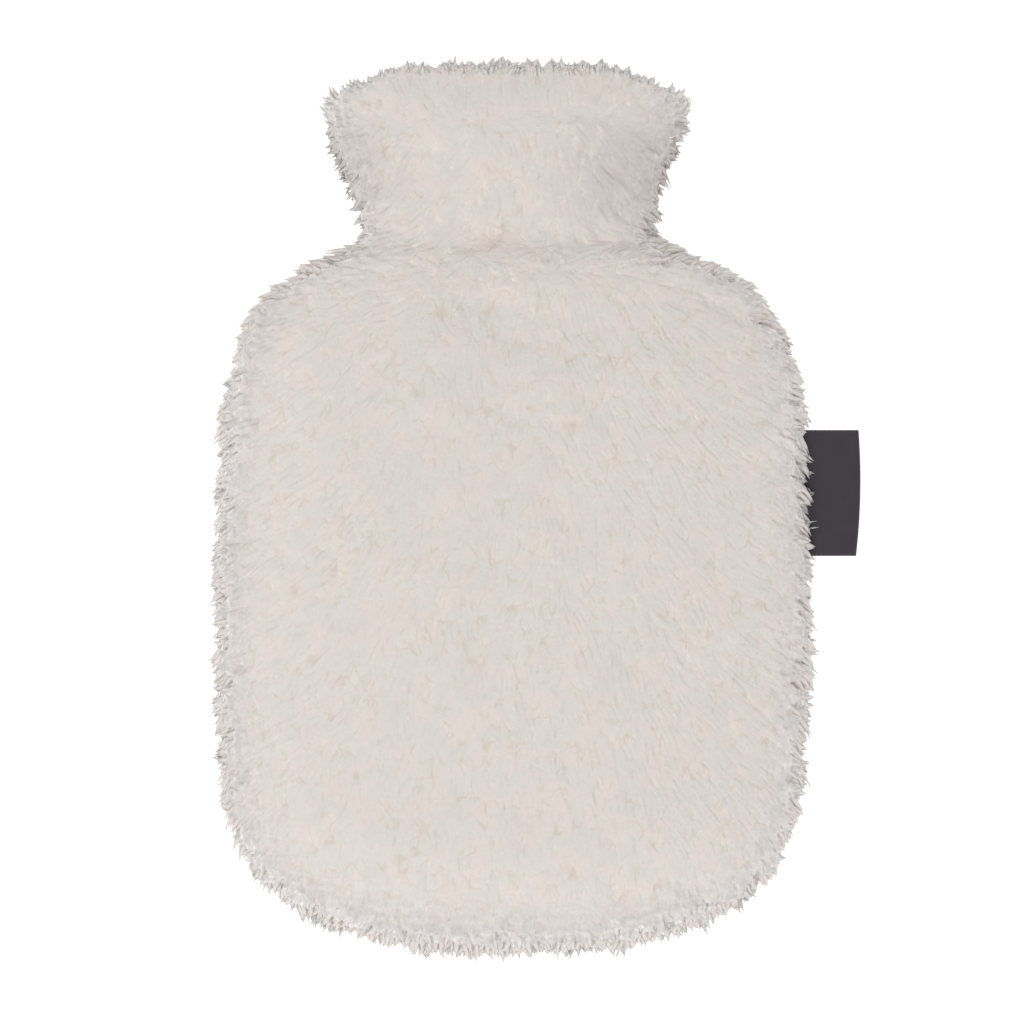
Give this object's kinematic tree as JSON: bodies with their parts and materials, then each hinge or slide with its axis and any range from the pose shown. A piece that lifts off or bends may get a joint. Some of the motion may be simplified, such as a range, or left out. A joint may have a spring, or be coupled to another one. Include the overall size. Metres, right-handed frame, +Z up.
{
  "type": "hot water bottle cover",
  "caption": "Cream teddy-plush hot water bottle cover lying on its back, filled out and hollow, open at the neck, with a dark woven side label.",
  "frame": {"origin": "middle of the flat spot on the underside of the body, on which the cover lies", "axes": "+Z up out of the front of the cover, +Y towards the open neck, +X to the side that bears the label"},
  "size_m": [0.195, 0.2692, 0.0472],
  "materials": {
    "teddy_plush": "matt long pile",
    "woven_tape": "satin weave"
  },
  "bodies": {
    "root": {"front_panel": "teddy_plush", "back_panel": "teddy_plush", "side_pile": "teddy_plush", "mouth_pile_front": "teddy_plush", "mouth_pile_back": "teddy_plush", "side_label": "woven_tape"}
  },
  "joints": []
}
